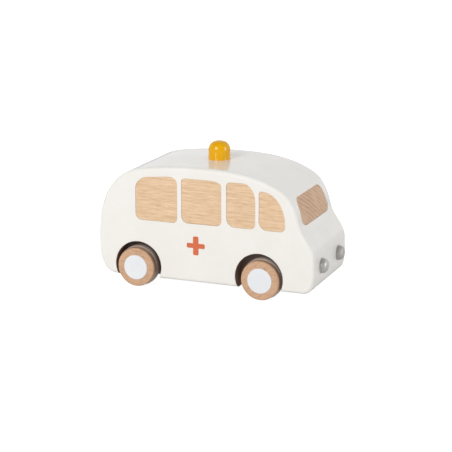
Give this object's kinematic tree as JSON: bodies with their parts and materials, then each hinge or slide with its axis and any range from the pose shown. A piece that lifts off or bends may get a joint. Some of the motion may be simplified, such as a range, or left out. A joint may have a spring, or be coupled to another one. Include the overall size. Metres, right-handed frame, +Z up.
{
  "type": "toy ambulance",
  "caption": "Wooden push-along toy ambulance: a white painted block with let-in beech windows, a roof beacon, domed headlights and wheel pairs that turn on axles.",
  "frame": {"origin": "on the floor under the middle of the overall box", "axes": "+X forward along the toy, +Y to the toy's left, +Z up from the floor"},
  "size_m": [0.1528, 0.0714, 0.0944],
  "materials": {
    "white_paint": "satin white paint on beech",
    "bare_beech": "sanded beech, long grain",
    "end_grain_beech": "sanded beech, end grain",
    "wheel_beech": "turned beech, clear oil",
    "tyre_dark": "dark matte ring",
    "hub_white": "cool white painted disc",
    "axle_steel": "drawn rod",
    "beacon_yellow": "glossy yellow paint",
    "lamp_silver": "satin silver dome"
  },
  "bodies": {
    "body": {"body_block": "white_paint", "side_window_right_1": "bare_beech", "side_window_right_2": "bare_beech", "side_window_right_3": "bare_beech", "side_window_right_4": "bare_beech", "side_window_left_1": "bare_beech", "side_window_left_2": "bare_beech", "side_window_left_3": "bare_beech", "side_window_left_4": "bare_beech", "windscreen": "end_grain_beech", "rear_window": "end_grain_beech", "beacon": "beacon_yellow", "headlight_right": "lamp_silver", "headlight_left": "lamp_silver"},
    "front_wheelset": {"front_axle": "axle_steel", "wheel_front_right": "wheel_beech", "wheel_front_left": "wheel_beech", "tyre_front_right": "tyre_dark", "tyre_front_left": "tyre_dark", "hub_disc_front_right": "hub_white", "hub_disc_front_left": "hub_white"},
    "rear_wheelset": {"rear_axle": "axle_steel", "wheel_rear_right": "wheel_beech", "wheel_rear_left": "wheel_beech", "tyre_rear_right": "tyre_dark", "tyre_rear_left": "tyre_dark", "hub_disc_rear_right": "hub_white", "hub_disc_rear_left": "hub_white"}
  },
  "joints": [
    {"name": "front_axle_spin", "type": "hinge", "parent": "body", "child": "front_wheelset", "pos_m": [0.03705, 0, 0.01345], "axis": [0, 1, 0], "continuous": true},
    {"name": "rear_axle_spin", "type": "hinge", "parent": "body", "child": "rear_wheelset", "pos_m": [-0.04915, 0, 0.01345], "axis": [0, 1, 0], "continuous": true}
  ]
}
